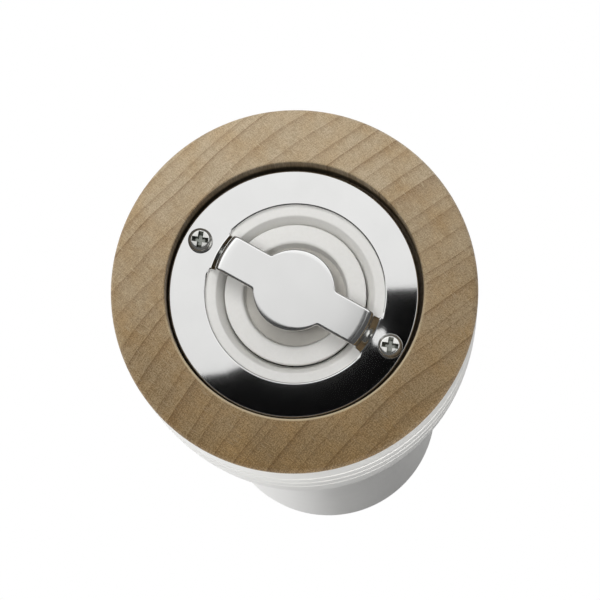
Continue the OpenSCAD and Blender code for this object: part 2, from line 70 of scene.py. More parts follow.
right = Vector((math.cos(BAR_TURN), -math.sin(BAR_TURN), 0))
down = Vector((math.sin(BAR_TURN), math.cos(BAR_TURN), 0))
pixel = DISTANCE / LENS_PIXELS
aim = (PICTURE / 2 - RING_CENTRE[0]) * pixel * right + (PICTURE / 2 - RING_CENTRE[1]) * pixel * down
side = Vector((math.cos(LEAN_TURN), math.sin(LEAN_TURN), 0))
eye = aim + DISTANCE * (math.sin(LEAN) * side - math.cos(LEAN) * Vector((0, 0, 1)))
look = (aim - eye).normalized()
across = (right - look * right.dot(look)).normalized()
upward = across.cross(look)

bpy.ops.object.select_all(action="DESELECT")
bpy.ops.object.camera_add()
camera = bpy.context.object
camera.name = "camera"
camera.data.sensor_width = 36
camera.data.lens = 36 * LENS_PIXELS / PICTURE
camera.data.clip_start = 0.01
camera.matrix_world = Matrix.Translation(eye) @ Matrix((across, upward, -look)).transposed().to_4x4()
bpy.context.scene.camera = camera
print("lens", round(camera.data.lens, 1), "mm, camera at", [round(v, 3) for v in eye])

# %% [markdown]
# ## Nodes and colours
# Every finish is drawn by nodes. Nodes could be placed one by one in the shader editor. One small
# function that adds a node with its settings and links keeps each finish to a few lines. Colours
# are written as sRGB hex values, as a paint program shows them, and turned to linear once.

# %% Helpers for materials
def linear(code):
    """An sRGB hex colour as the linear values that sockets take."""
    shares = [int(code[i:i + 2], 16) / 255 for i in (1, 3, 5)]
    return [s / 12.92 if s <= 0.04045 else ((s + 0.055) / 1.055) ** 2.4 for s in shares] + [1]


def node(tree, kind, inputs=None, **settings):
    """Adds a node with its settings, and gives its inputs values or links."""
    made = tree.nodes.new(kind)
    for name, value in settings.items():
        setattr(made, name, value)
    for socket, value in (inputs or {}).items():
        if isinstance(value, bpy.types.NodeSocket):
            tree.links.new(value, made.inputs[socket])
        else:
            made.inputs[socket].default_value = value
    return made


def maths(tree, operation, *numbers):
    """One step of arithmetic on numbers or links."""
    return node(tree, "ShaderNodeMath", dict(enumerate(numbers)), operation=operation).outputs[0]


def noise(tree, place, scale, detail=2):
    """A cloudy pattern whose lumps measure 1 / scale."""
    return node(tree, "ShaderNodeTexNoise", {"Vector": place, "Scale": scale, "Detail": detail}).outputs[0]


def ramp(tree, value, low, high, first=0, last=1, soft=False):
    """Turns one range of a value into another, and stops at both ends."""
    ends = {"Value": value, "From Min": low, "From Max": high, "To Min": first, "To Max": last}
    kind = "SMOOTHSTEP" if soft else "LINEAR"
    return node(tree, "ShaderNodeMapRange", ends, interpolation_type=kind).outputs[0]


def mixed(tree, share, first, second, how="MIX"):
    """Mixes two colours, each a hex code or a link."""
    first, second = [linear(c) if isinstance(c, str) else c for c in (first, second)]
    return node(tree, "ShaderNodeMix", {0: share, 6: first, 7: second}, data_type="RGBA",
                blend_type=how).outputs[2]


def start_material(name, **sockets):
    """A material with its shader's plain sockets set, its nodes and its coordinates in mm."""
    material = bpy.data.materials.new(name)
    material.use_nodes = True
    tree = material.node_tree
    shader = tree.nodes["Principled BSDF"]
    for socket, value in sockets.items():
        shader.inputs[socket.replace("_", " ")].default_value = value
    place = node(tree, "ShaderNodeTexCoord").outputs["Object"]
    place = node(tree, "ShaderNodeMapping", {"Vector": place, "Scale": (1000, 1000, 1000)}).outputs[0]
    return material, tree, shader, place


print("sRGB #808080 is linear", round(linear("#808080")[0], 3))

# %% [markdown]
# ## The studio
# The mill stands on a pale floor, but the picture looks up through it. A glass table would bend
# and dim the view. Instead the floor shows only from above, and a second sheet with a round
# opening under the foot, which no camera sees, keeps the lamps below off the mill's sides.

# %% Floor seen from above
FLOOR_EDGE = 3.0
OPENING_R = 30.3


def flat_ring(name, inner, outer, height):
    """A flat ring on the floor's plane that faces up."""
    bpy.ops.object.select_all(action="DESELECT")
    bpy.ops.mesh.primitive_circle_add(vertices=128, radius=inner)
    ring = bpy.context.object
    ring.name = name
    bpy.ops.object.mode_set(mode="EDIT")
    bpy.ops.mesh.select_all(action="SELECT")
    bpy.ops.mesh.extrude_edges_move()
    bpy.ops.transform.resize(value=(outer / inner, outer / inner, 1), center_override=(0, 0, 0))
    bpy.ops.mesh.select_all(action="SELECT")
    bpy.ops.transform.translate(value=(0, 0, height))
    bpy.ops.object.mode_set(mode="OBJECT")
    if ring.data.polygons[0].normal.z < 0:
        ring.data.flip_normals()
    return ring


floor = flat_ring("floor", 15 * MM, FLOOR_EDGE, -0.1 * MM)
floor_paper, tree, shader, place = start_material("floor_paper", Roughness=0.9)
shader.inputs["Base Color"].default_value = linear("#ECECEC")
reach = node(tree, "ShaderNodeVectorMath", {0: place}, operation="LENGTH").outputs["Value"]
fade = ramp(tree, reach, 250, 1100, 0.3, 1, soft=True)
white = node(tree, "ShaderNodeEmission", {"Color": (1, 1, 1, 1), "Strength": 1.0}).outputs[0]
paper = node(tree, "ShaderNodeMixShader", {0: fade, 1: shader.outputs[0], 2: white}).outputs[0]
clear = node(tree, "ShaderNodeBsdfTransparent").outputs[0]
under = node(tree, "ShaderNodeNewGeometry").outputs["Backfacing"]
seen = node(tree, "ShaderNodeMixShader", {0: under, 1: paper, 2: clear}).outputs[0]
tree.links.new(seen, tree.nodes["Material Output"].inputs["Surface"])
floor.data.materials.append(floor_paper)
floor.visible_shadow = False
floor.visible_diffuse = False
floor.visible_glossy = False
floor.visible_transmission = False
print("floor radius", FLOOR_EDGE, "m")

# %% Sheet that keeps the lamps below off the sides
opening = flat_ring("light_opening", OPENING_R * MM, FLOOR_EDGE, -1 * MM)
card, tree, shader, place = start_material("studio_card", Roughness=0.9)
# White close to the foot, which it lights from below, and grey beyond
reach = node(tree, "ShaderNodeVectorMath", {0: place}, operation="LENGTH").outputs["Value"]
fade = ramp(tree, reach, 60, 140)
tone = mixed(tree, fade, "#F4F4F4", "#9A9A9A")
tree.links.new(tone, shader.inputs["Base Color"])
# A patch of the sheet glows, though it is no lamp, and brightens the side of the foot that the picture
# shows
patch_way = (down + 0.7 * right).normalized()
patch = node(tree, "ShaderNodeVectorMath", {0: place, 1: patch_way},
             operation="DOT_PRODUCT").outputs["Value"]
patch = ramp(tree, patch, 20, 50, 0, 1.8)
near = ramp(tree, reach, 80, 45)
patch = maths(tree, "MULTIPLY", patch, near)
shader.inputs["Emission Color"].default_value = (1, 1, 1, 1)
tree.links.new(patch, shader.inputs["Emission Strength"])
opening.data.materials.append(card)
opening.visible_camera = False
print("opening under the foot", 2 * OPENING_R, "mm across")

# %% [markdown]
# ## Light
# The picture has a white ground, a soft light from the top left and a plate that mirrors a white
# screen with a black edge. The world gives the white ground to the camera and to reflections, and
# less of it as light, so that white stays white and pale things keep their shading.

# %% World
LIGHT_ABOVE, LIGHT_BELOW = 0.24, 0.10
world = bpy.data.worlds.new("white_studio")
bpy.context.scene.world = world
world.use_nodes = True
tree = world.node_tree
path = node(tree, "ShaderNodeLightPath").outputs
seen = maths(tree, "MAXIMUM", path["Is Camera Ray"], path["Is Transmission Ray"])
sky = node(tree, "ShaderNodeTexCoord").outputs["Generated"]
rise = node(tree, "ShaderNodeSeparateXYZ", {0: sky}).outputs["Z"]
# Below, a white screen at the top of the picture in a dark room, which reaches further out on the
# left; above, a ceiling that is dark at the horizon, and overhead on the picture's right
lean = node(tree, "ShaderNodeVectorMath", {0: sky, 1: down}, operation="DOT_PRODUCT").outputs["Value"]
sideways = node(tree, "ShaderNodeVectorMath", {0: sky, 1: right}, operation="DOT_PRODUCT").outputs["Value"]
screen = ramp(tree, lean, -0.05, -0.10, soft=True)
further = ramp(tree, sideways, 0.0, -0.8, 0, 0.3)
edge = maths(tree, "SUBTRACT", rise, further)
width = ramp(tree, edge, -0.66, -0.82, soft=True)
screen = maths(tree, "MULTIPLY", screen, width)
screen = ramp(tree, screen, 0, 1, 0.10, 1.01)
glow = ramp(tree, lean, -0.10, -0.45, 0.88, 1.4)
screen = maths(tree, "MULTIPLY", screen, glow)
ceiling = ramp(tree, rise, 0.0, 0.6, 0.25, 1.0, soft=True)
overhead = ramp(tree, sideways, -0.15, 0.0, 1.0, 0.2)
top = ramp(tree, rise, 0.85, 0.95, soft=True)
ceiling = node(tree, "ShaderNodeMix", {0: top, 2: ceiling, 3: overhead}).outputs[0]
above = maths(tree, "GREATER_THAN", rise, 0.0)
mirrored = node(tree, "ShaderNodeMix", {0: above, 2: screen, 3: ceiling}).outputs[0]
spread = node(tree, "ShaderNodeMix", {0: above, 2: LIGHT_BELOW, 3: LIGHT_ABOVE}).outputs[0]
lighting = node(tree, "ShaderNodeMix", {0: path["Is Glossy Ray"], 2: spread, 3: mirrored}).outputs[0]
strength = maths(tree, "MAXIMUM", seen, lighting)
tree.links.new(strength, tree.nodes["Background"].inputs["Strength"])
tree.nodes["Background"].inputs["Color"].default_value = (1, 1, 1, 1)
print("world light", LIGHT_ABOVE, "above the floor and", LIGHT_BELOW, "below")

# %% Lamps
def lamp(name, place, target, size, power):
    """A square soft lamp that points at a target. Neither the camera nor a mirror sees it."""
    bpy.ops.object.select_all(action="DESELECT")
    bpy.ops.object.light_add(type="AREA", location=place)
    made = bpy.context.object
    made.name = name
    made.data.size = size
    made.data.energy = power
    made.rotation_euler = (Vector(target) - Vector(place)).to_track_quat("-Z", "Y").to_euler()
    made.visible_camera = False
    made.visible_glossy = False


MIDDLE = (0, 0, 100 * MM)
under_key = -0.035 * down - 0.008 * right
lamp("under_key", under_key - Vector((0, 0, 0.08)), under_key, 0.05, 0.036)
lamp("under_front", 0.9 * eye - 0.10 * right, (0, 0, 0), 0.16, 0.80)
lamp("side_key", -0.55 * right - 0.25 * down + Vector((0, 0, 0.50)), MIDDLE, 0.40, 2.2)
lamp("back_fill", -0.58 * right + 0.38 * down + Vector((0, 0, 0.30)), MIDDLE, 0.50, 2.2)
lamp("front_fill", (0.06, -0.70, 0.45), MIDDLE, 0.85, 4.0)

# %% Black card that the plate mirrors
PLATE_Z, CARD_DEPTH, CARD_INNER, CARD_OUTER = 4.0, 0.15, 13.6, 27.0


def card_point(r, turn):
    """Where the ray from the camera lands after the plate mirrors it at a radius in mm and a turn."""
    spot = Vector((r * math.cos(turn), r * math.sin(turn), PLATE_Z)) * MM
    image = Vector((eye.x, eye.y, 2 * PLATE_Z * MM - eye.z))
    return spot + (spot - image) * (spot.z + CARD_DEPTH) / (image.z - spot.z)


bpy.ops.object.select_all(action="DESELECT")
bpy.ops.mesh.primitive_grid_add(x_subdivisions=48, y_subdivisions=4, size=2)
flag = bpy.context.object
flag.name = "black_card"
for vertex in flag.data.vertices:
    r = CARD_INNER + (vertex.co.y + 1) / 2 * (CARD_OUTER - CARD_INNER)
    first = math.radians(-2.5) - BAR_TURN
    last = math.radians(125 + (r - 14.4) * 2.3) - BAR_TURN
    vertex.co = card_point(r, first + (last - first) * (vertex.co.x + 1) / 2)
black_velvet, tree, shader, place = start_material("black_velvet", Roughness=1.0)
nap = noise(tree, place, 0.5)
tone = mixed(tree, nap, "#181819", "#242425")
tree.links.new(tone, shader.inputs["Base Color"])
shader.inputs["Specular IOR Level"].default_value = 0
flag.data.materials.append(black_velvet)
flag.visible_camera = False
flag.visible_diffuse = False
flag.visible_shadow = False
print("black card", CARD_DEPTH, "m below the foot")

# %% [markdown]
# ## Bare beech
# The foot's face is cut across the trunk, so it shows growth lines in a slow curve, thin rays
# across them and open pores. A wood photograph could be laid on it. Drawing the rings round a
# pith that lies outside the foot gives the same lines on the face and in the recess.

# %% Bare beech
# The pith lies 150 mm off, at the lower right of the picture
PITH = (142.9, 45.6)
PITH_AWAY, YEAR = 150, 2.8
bare_beech, tree, shader, place = start_material("bare_beech", Roughness=0.5)
trunk = node(tree, "ShaderNodeMapping", {"Vector": place, "Location": (-PITH[0], -PITH[1], 0),
             "Scale": (1, 1, 0.06)}).outputs[0]
# Pores of 0.05 to 0.1 mm, drawn at 0.2 mm so that they show
pores = noise(tree, trunk, 1 / 0.2, 1)
pores = ramp(tree, pores, 0.25, 0.75)
drift = node(tree, "ShaderNodeTexNoise", {"Vector": trunk, "Scale": 1 / 26, "Detail": 1}).outputs["Color"]
drift = node(tree, "ShaderNodeVectorMath", {0: drift, 1: (0.5, 0.5, 0.5)}, operation="SUBTRACT").outputs[0]
drift = node(tree, "ShaderNodeVectorMath", {0: drift, "Scale": 4.0}, operation="SCALE").outputs[0]
grown = node(tree, "ShaderNodeVectorMath", {0: trunk, 1: drift}, operation="ADD").outputs[0]
grown = node(tree, "ShaderNodeVectorMath", {0: grown, 1: (1, 1, 0)}, operation="MULTIPLY").outputs[0]
radius = node(tree, "ShaderNodeVectorMath", {0: grown}, operation="LENGTH").outputs["Value"]
# Growth lines about 2.8 mm apart, wider in good years
ragged = maths(tree, "MULTIPLY_ADD", pores, 0.12, radius)
year = maths(tree, "DIVIDE", ragged, YEAR)
weather = node(tree, "ShaderNodeTexNoise", {"W": radius, "Scale": 0.13}, noise_dimensions="1D").outputs[0]
year = maths(tree, "MULTIPLY_ADD", weather, 2.2, year)
season = maths(tree, "FRACT", year)
# The wood darkens a little through the year and ends in a thin dark line
late = maths(tree, "POWER", season, 8)
autumn = maths(tree, "POWER", season, 2)
late = node(tree, "ShaderNodeMix", {0: 0.3, 2: late, 3: autumn}).outputs[0]
# Some years leave a strong line and some hardly any
count = maths(tree, "FLOOR", year)
summer = node(tree, "ShaderNodeTexWhiteNoise", {"W": count}, noise_dimensions="1D").outputs["Value"]
summer = ramp(tree, summer, 0, 1, 0.45, 1.0)
# Rays 0.2 mm wide and 2 mm long, across the growth lines, here and there
split = node(tree, "ShaderNodeSeparateXYZ", {0: grown}).outputs
angle = maths(tree, "ARCTAN2", split["Y"], split["X"])
round_way = maths(tree, "MULTIPLY", angle, PITH_AWAY * 5)
out_way = maths(tree, "MULTIPLY", radius, 0.5)
strands = node(tree, "ShaderNodeCombineXYZ", {0: out_way, 1: round_way}).outputs[0]
strand = noise(tree, strands, 1, 1)
# Tissue in threads of 0.2 by 1 mm along the growth lines
out_way = maths(tree, "MULTIPLY", radius, 5)
round_way = maths(tree, "MULTIPLY", angle, PITH_AWAY)
threads = node(tree, "ShaderNodeCombineXYZ", {0: out_way, 1: round_way}).outputs[0]
tissue = noise(tree, threads, 1, 1)
ray = ramp(tree, strand, 0.60, 0.72)
patch = noise(tree, trunk, 1 / 9, 4)
lines = maths(tree, "MULTIPLY", late, summer)
shade = maths(tree, "MULTIPLY", pores, 0.5)
shade = maths(tree, "MULTIPLY_ADD", strand, 0.5, shade)
shade = maths(tree, "MULTIPLY_ADD", tissue, 0.5, shade)
shade = maths(tree, "MULTIPLY_ADD", patch, 0.3, shade)
shade = ramp(tree, shade, 0.65, 1.15)
# Painted light falloff and sheen: the wood is paler and greyer at the top of the picture, warmer and darker
# towards the bottom
painted_falloff = node(tree, "ShaderNodeVectorMath", {0: place, 1: (down + 0.08 * right).normalized()},
             operation="DOT_PRODUCT").outputs["Value"]
painted_falloff = ramp(tree, painted_falloff, -18, 31)
wood = mixed(tree, painted_falloff, "#C8B69A", "#A28860")
# The grain shows more towards the bottom and darkens the wood there, as part of the same painted falloff
grain_towards_bottom = ramp(tree, painted_falloff, 0, 1, 0.8, 1.25)
shade = maths(tree, "MULTIPLY", shade, grain_towards_bottom)
# Patches of 5 mm that lean to orange
tint = noise(tree, trunk, 1 / 5, 3)
tint = ramp(tree, tint, 0.4, 0.75, 0, 0.5)
wood = mixed(tree, tint, wood, "#B6935F")
wood = mixed(tree, shade, wood, "#B8B0A0", "MULTIPLY")
wood = mixed(tree, lines, wood, "#B8A692", "MULTIPLY")
pale = ramp(tree, painted_falloff, 0, 1, 0.7, 0.15)
pale = maths(tree, "MULTIPLY", ray, pale)
wood = mixed(tree, pale, wood, "#CDBB9C")
# Painted highlight: the recess's rounded rim is drawn pale, most towards the bottom of the picture
height = node(tree, "ShaderNodeSeparateXYZ", {0: place}).outputs["Z"]
flat = node(tree, "ShaderNodeVectorMath", {0: place, 1: (1, 1, 0)}, operation="MULTIPLY").outputs[0]
reach = node(tree, "ShaderNodeVectorMath", {0: flat}, operation="LENGTH").outputs["Value"]
rim_highlight = ramp(tree, reach, 21.1, 20.85)
low = ramp(tree, height, 0.6, 0.3, 0, 0.7)
rim_highlight_side = ramp(tree, painted_falloff, 0.35, 0.6)
low = maths(tree, "MULTIPLY", low, rim_highlight_side)
rim_highlight = maths(tree, "MULTIPLY", rim_highlight, low)
wood = mixed(tree, rim_highlight, wood, "#E0D0AE")
# Painted shade: the wood beside and behind the plate, from 3 mm to 9 mm above the face, is drawn dark
level = maths(tree, "SUBTRACT", height, 6)
level = maths(tree, "ABSOLUTE", level)
gap_shade = ramp(tree, level, 3, 1.5, 0, 0.8)
wood = mixed(tree, gap_shade, wood, "#241E17")
tree.links.new(wood, shader.inputs["Base Color"])
relief = maths(tree, "MULTIPLY_ADD", ray, 0.5, pores)
bump = node(tree, "ShaderNodeBump", {"Strength": 0.35, "Distance": 0.03 * MM, "Height": relief}).outputs[0]
tree.links.new(bump, shader.inputs["Normal"])
print("growth lines", YEAR, "mm apart round a pith at", PITH, "mm")

# %% [markdown]
# ## White lacquer
# The outside is turned beech under sprayed white lacquer. A plain white would do for one view.
# Sprayed lacquer also has a soft shine and a fine orange peel, which shows where light grazes it.

# %% White lacquer
white_lacquer, tree, shader, place = start_material("white_lacquer", Coat_Weight=0.25, Coat_Roughness=0.18)
mist = noise(tree, place, 0.25, 3)
tone = mixed(tree, mist, "#EBEAE6", "#F3F2EF")
tree.links.new(tone, shader.inputs["Base Color"])
gloss = ramp(tree, mist, 0, 1, 0.30, 0.42)
tree.links.new(gloss, shader.inputs["Roughness"])
# Orange peel of 0.8 mm
peel = noise(tree, place, 1 / 0.8, 1)
bump = node(tree, "ShaderNodeBump", {"Strength": 0.25, "Distance": 0.02 * MM, "Height": peel}).outputs[0]
tree.links.new(bump, shader.inputs["Normal"])
print("lacquer with an orange peel of 0.8 mm")

# %% [markdown]
# ## Metals
# The plate is a polished stamping and its raised bridge is satin from use. Screws, washers and
# clips are plated. A metal's colour is in its reflections, so each gets its own roughness and a
# fine pattern of the way it was made: polishing marks, drawn lines or tumbled plating.

# %% Polished sheet
polished_sheet, tree, shader, place = start_material("polished_sheet", Metallic=1)
height = node(tree, "ShaderNodeSeparateXYZ", {0: place}).outputs["Z"]
satin = ramp(tree, height, 1.2, 0.5, 0.03, 0.13)
# Polishing marks of 0.2 mm, drawn coarser than the real ones so that they show
marks = noise(tree, place, 5, 3)
rough = maths(tree, "MULTIPLY_ADD", marks, 0.03, satin)
tree.links.new(rough, shader.inputs["Roughness"])
smudge = noise(tree, place, 0.2, 2)
tone = mixed(tree, smudge, "#E0E0DF", "#E8E8E7")
tree.links.new(tone, shader.inputs["Base Color"])
print("polished sheet, satin on the bridge")

# %% Plated, drawn and turned metals
def worked_metal(name, dark, light, roughness, grain, metallic=1):
    """A metal whose tone and shine vary along the marks of its making, given in mm each way."""
    material, tree, shader, place = start_material(name, Metallic=metallic)
    scale = tuple(1 / size for size in grain)
    place = node(tree, "ShaderNodeMapping", {"Vector": place, "Scale": scale}).outputs[0]
    marks = noise(tree, place, 1, 3)
    tone = mixed(tree, marks, dark, light)
    tree.links.new(tone, shader.inputs["Base Color"])
    rough = ramp(tree, marks, 0, 1, roughness * 0.7, roughness * 1.3)
    tree.links.new(rough, shader.inputs["Roughness"])
    return material


# Tumbled nickel: even and bright
nickel_plate = worked_metal("nickel_plated_steel", "#C4C4C2", "#DEDEDC", 0.18, (0.6, 0.6, 0.6))
# Zinc on the screws: bright, with a trace of the white haze of its fine crystals
zinc_plate = worked_metal("zinc_plated_steel", "#CBCBC8", "#E2E2DE", 0.11, (0.4, 0.4, 0.4), 0.9)
# Pressed crosses: the punch leaves them matt, and their dark tone is painted shade in the pits
pit_steel_painted_shade = worked_metal("pit_steel_painted_shade", "#8E918B", "#B4B7B0", 0.35, (0.3, 0.3, 0.3))
# Drawn aluminium: lines along the bar, under an oxide skin that scatters part of the light
drawn_aluminium = worked_metal("drawn_aluminium", "#B4B7BA", "#D0D3D6", 0.34, (0.2, 0.2, 6), 0.5)
# Turned brass: rings across the bush
turned_brass = worked_metal("turned_brass", "#B58F3F", "#D6B364", 0.25, (4, 4, 0.15))
# Spring wire: slightly oiled, so darker
spring_wire = worked_metal("spring_wire", "#8C8D90", "#B2B3B6", 0.3, (0.5, 0.5, 0.5))
# Polished knob: faint rings from the lathe
knob_steel = worked_metal("turned_polished_steel", "#CDCECF", "#E0E1E1", 0.1, (6, 6, 0.3))
print("seven worked metals")

# %% [markdown]
# ## Ceramic and plastic
# The grinder is fired unglazed ceramic, chalky with a fine speckle. The carrier, the guide and
# the slip ring are moulded plastic, which has a soft shine and a faint spark texture.

# %% Ceramic and plastic
def pale_moulding(name, dark, light, roughness, speck, depth):
    """A pale fired or moulded surface with specks of a size in mm and a relief of a depth in mm."""
    material, tree, shader, place = start_material(name)
    specks = noise(tree, place, 1 / speck, 3)
    tone = mixed(tree, specks, dark, light)
    tree.links.new(tone, shader.inputs["Base Color"])
    rough = ramp(tree, specks, 0, 1, roughness - 0.06, roughness + 0.06)
    tree.links.new(rough, shader.inputs["Roughness"])
    bump = node(tree, "ShaderNodeBump", {"Strength": 0.3, "Distance": depth * MM,
                "Height": specks}).outputs[0]
    tree.links.new(bump, shader.inputs["Normal"])
    return material


unglazed_ceramic = pale_moulding("unglazed_ceramic", "#ECEBE7", "#F4F3F0", 0.55, 0.5, 0.01)
moulded_nylon = pale_moulding("moulded_nylon", "#EFEDE6", "#F5F3EE", 0.45, 0.7, 0.02)
# The carrier's nylon is greyed as painted shade for its floor in the hollow under the disc, which looks
# darker than the ceramic in the picture
nylon_painted_shade = pale_moulding("nylon_painted_shade", "#C6C3BC", "#D0CDC6", 0.45, 0.7, 0.02)
print("ceramic and nylon")

# %% [markdown]
# ## Tools of the workshop
# Most pieces are turned. A cylinder could be cut down with modifiers, but an outline spun round
# the shaft is what a lathe does, and gives every groove and rounding at once. A few more helpers
# select edges by place, cut one shape from another, and put a finished piece on its CAD body.

# %% Helpers for shapes
def arc(x, z, radius, start, end, steps=6):
    """Points of a rounding in mm, from one angle to another in degrees."""
    turns = [math.radians(start + (end - start) * i / steps) for i in range(steps + 1)]
    return [(x + radius * math.cos(a), z + radius * math.sin(a)) for a in turns]


def only(piece):
    """Makes this piece the one that the next operators act on."""
    bpy.ops.object.select_all(action="DESELECT")
    bpy.context.view_layer.objects.active = piece
    piece.select_set(True)


def turned(name, outline, steps):
    """A piece turned on a lathe: its closed outline in mm, as radius and height, spun round Z."""
    bpy.ops.object.select_all(action="DESELECT")
    bpy.ops.mesh.primitive_circle_add(vertices=len(outline), radius=MM)
    piece = bpy.context.object
    piece.name = name
    for vertex, (radius, height) in zip(piece.data.vertices, outline):
        vertex.co = (radius * MM, 0, height * MM)
    bpy.ops.object.mode_set(mode="EDIT")
    bpy.ops.mesh.select_all(action="SELECT")
    bpy.ops.mesh.spin(steps=steps, angle=2 * math.pi, center=(0, 0, 0), axis=(0, 0, 1))
    bpy.ops.mesh.select_all(action="SELECT")
    bpy.ops.mesh.remove_doubles(threshold=0.001 * MM)
    bpy.ops.mesh.delete_loose()
    bpy.ops.mesh.select_all(action="SELECT")
    bpy.ops.mesh.normals_make_consistent(inside=False)
    bpy.ops.object.mode_set(mode="OBJECT")
    return piece


def drill(name, x, y, low, high, radius, sides=32):
    """A straight cutter along Z, in mm."""
    bpy.ops.object.select_all(action="DESELECT")
    bpy.ops.mesh.primitive_cylinder_add(vertices=sides, radius=radius * MM, depth=(high - low) * MM,
                                        location=(x * MM, y * MM, (low + high) / 2 * MM))
    tool = bpy.context.object
    tool.name = name
    return tool


def combine(piece, tool, operation):
    """Cuts the tool from the piece or joins it on, and puts the tool away."""
    only(piece)
    step = piece.modifiers.new("cut", "BOOLEAN")
    step.operation = operation
    step.object = tool
    step.solver = "EXACT"
    bpy.ops.object.modifier_apply(modifier=step.name)
    bpy.data.objects.remove(tool)


def place_piece(piece, body, cad_node, slot, *materials):
    """Shades a finished piece, and lets it stand for its CAD node on that node's body."""
    only(piece)
    bpy.ops.object.shade_smooth_by_angle(angle=math.radians(35))
    for material in materials:
        piece.data.materials.append(material)
    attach(piece, body)
    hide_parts(cad_node)
    print(piece.name, "has", len(piece.data.polygons), "faces")


# %% [markdown]
# ## Body
# The body is one turned length of beech: a straight foot, three fine grooves, a long taper to the
# waist and a small flare at the neck. The recess, the grinder's seat and the chamber are bored
# from below and above, so they are in the same outline. The foot's face stays bare.

# %% Body outline
FOOT_R, WAIST_R, NECK_R = 29.3, 19.7, 20.5
BODY_TOP, WAIST_Z, FOOT_BAND = 120, 100, 10.5
GROOVES = [FOOT_BAND, FOOT_BAND + 6.5, FOOT_BAND + 13]
RECESS_R, SEAT_Z, GUIDE_TOP, CHAMBER_R = 20.65, 4.8, 32.8, 13.5
RIM_ROUND, FOOT_ROUND, NECK_ROUND = 0.35, 1, 0.8
NECK_BORE_R, NECK_BORE_Z, SEAT_R, RELIEF_R, RELIEF = 15.58, 112, 15.1, 19.5, 2.4
SCREW_X = 17.5


def ease(t):
    """Leaves 0 and reaches 1 level."""
    return t * t * (3 - 2 * t)


def body_radius(z):
    """Radius of the body's outside at a height, without its grooves."""
    if z <= FOOT_BAND:
        return FOOT_R
    if z <= WAIST_Z:
        return FOOT_R + (WAIST_R - FOOT_R) * ease(((z - FOOT_BAND) / (WAIST_Z - FOOT_BAND)) ** 1.5)
    return WAIST_R + (NECK_R - WAIST_R) * ease((z - WAIST_Z) / 19.2)


def groove_depth(z):
    """Depth of the turned grooves, from a 0.8 mm tool with softly broken lips."""
    nearest = min(abs(z - groove) for groove in GROOVES)
    bite = math.sqrt(max(0.64 - nearest ** 2, 0)) - 0.35
    return (bite + math.sqrt(bite ** 2 + 0.003)) / 2 - 0.002


levels = [1.0 + 118.2 * i / 72 for i in range(73)]
levels = [z for z in levels if min(abs(z - groove) for groove in GROOVES) > 1.15]
levels += [groove + 0.1 * i for groove in GROOVES for i in range(-11, 12)]
body_side = [(body_radius(z) - groove_depth(z), z) for z in sorted(levels)]
body_outline = arc(RECESS_R + RIM_ROUND, RIM_ROUND, RIM_ROUND, 180, 270)
body_outline += arc(FOOT_R - FOOT_ROUND, FOOT_ROUND, FOOT_ROUND, 270, 350)
body_outline += body_side + arc(NECK_R - NECK_ROUND, BODY_TOP - NECK_ROUND, NECK_ROUND, 10, 90)
body_outline += [(NECK_BORE_R, BODY_TOP), (NECK_BORE_R, NECK_BORE_Z)]
body_outline += [(CHAMBER_R, NECK_BORE_Z), (CHAMBER_R, 70)]
body_outline += [(CHAMBER_R, GUIDE_TOP), (SEAT_R, GUIDE_TOP), (SEAT_R, SEAT_Z), (RELIEF_R, SEAT_Z)]
# The turning tool leaves a narrow relief in the recess's corner, which is the dark line round the plate
body_outline += [(RELIEF_R, SEAT_Z + RELIEF), (RECESS_R, SEAT_Z + RELIEF)]
print("body outline of", len(body_outline), "points")

# %% Body
body = turned("turned_body", body_outline, 144)
for x in (-SCREW_X, SCREW_X):
    combine(body, drill("pilot_hole", x, 0, SEAT_Z - 1, SEAT_Z + 9, 1.12), "DIFFERENCE")
for y in (-15, 15):
    combine(body, drill("rib_slot", 0, y, SEAT_Z - 1, SEAT_Z + 12, 1.1), "DIFFERENCE")
place_piece(body, "base", "body", "lacquered_beech", bare_beech, white_lacquer)
for face in body.data.polygons:
    centre = face.center / MM
    outside = math.hypot(centre.x, centre.y) > body_radius(centre.z) - 0.7
    face.material_index = int(outside and 0.9 < centre.z < 119.9)
print("lacquered faces", sum(face.material_index for face in body.data.polygons))

# %% [markdown]
# ## Base plate
# The plate is one stamping: a flat ring, and a bar with a round centre that two bends lift over
# the grinder. It could be cut from a disc with booleans. Here the ring is extruded from the
# hole's rim, the bar is a grid whose rows are pressed over the bends, and Solidify gives both
# the sheet's thickness, so that the bends stay as even as a press makes them.

# %% Flat ring of the plate
HOLE_R, PLATE_R, SHEET = 14.4, 20.1, 0.8
RINGS = [14.7, 15.0, 15.4, 15.9, 16.4, 16.9, 17.4, 17.9, 18.4, 18.9, 19.3, 19.6]
RISE, RISE_X, RISE_Y, RISE_R = 0.03, 17.2, -0.5, 3
COLUMNS = 168
bpy.ops.object.select_all(action="DESELECT")
bpy.ops.mesh.primitive_circle_add(vertices=COLUMNS, radius=HOLE_R * MM)
plate = bpy.context.object
plate.name = "stamped_plate"
bpy.ops.object.mode_set(mode="EDIT")
bpy.ops.mesh.select_all(action="SELECT")
bpy.ops.transform.translate(value=(0, 0, PLATE_Z * MM))
last = HOLE_R
for reach in RINGS + [PLATE_R - 0.3, PLATE_R]:
    bpy.ops.mesh.extrude_edges_move()
    bpy.ops.transform.resize(value=(reach / last, reach / last, 1), center_override=(0, 0, 0))
    last = reach
bpy.ops.object.mode_set(mode="OBJECT")
# The sheet rises 0.03 mm beside the near screw, where driving it has lifted the metal
for vertex in plate.data.vertices:
    away = math.hypot(vertex.co.x / MM - RISE_X, vertex.co.y / MM - RISE_Y) / RISE_R
    vertex.co.z -= RISE * MM * max(0, 1 - away ** 2) ** 2
print("plate ring to", round(max(v.co.x for v in plate.data.vertices) / MM, 2), "mm")

# %% Bridge rows, from the centre to the hole's rim
DISC_R, BAR_HALF, BRIDGE_Z = 6.6, 3.1, 0.4
FLAT_R, LEG_R, LEG_BEND, TOE_BEND = 12.2, 13.2, 1.0, 0.3
HALF_COLUMNS = 7


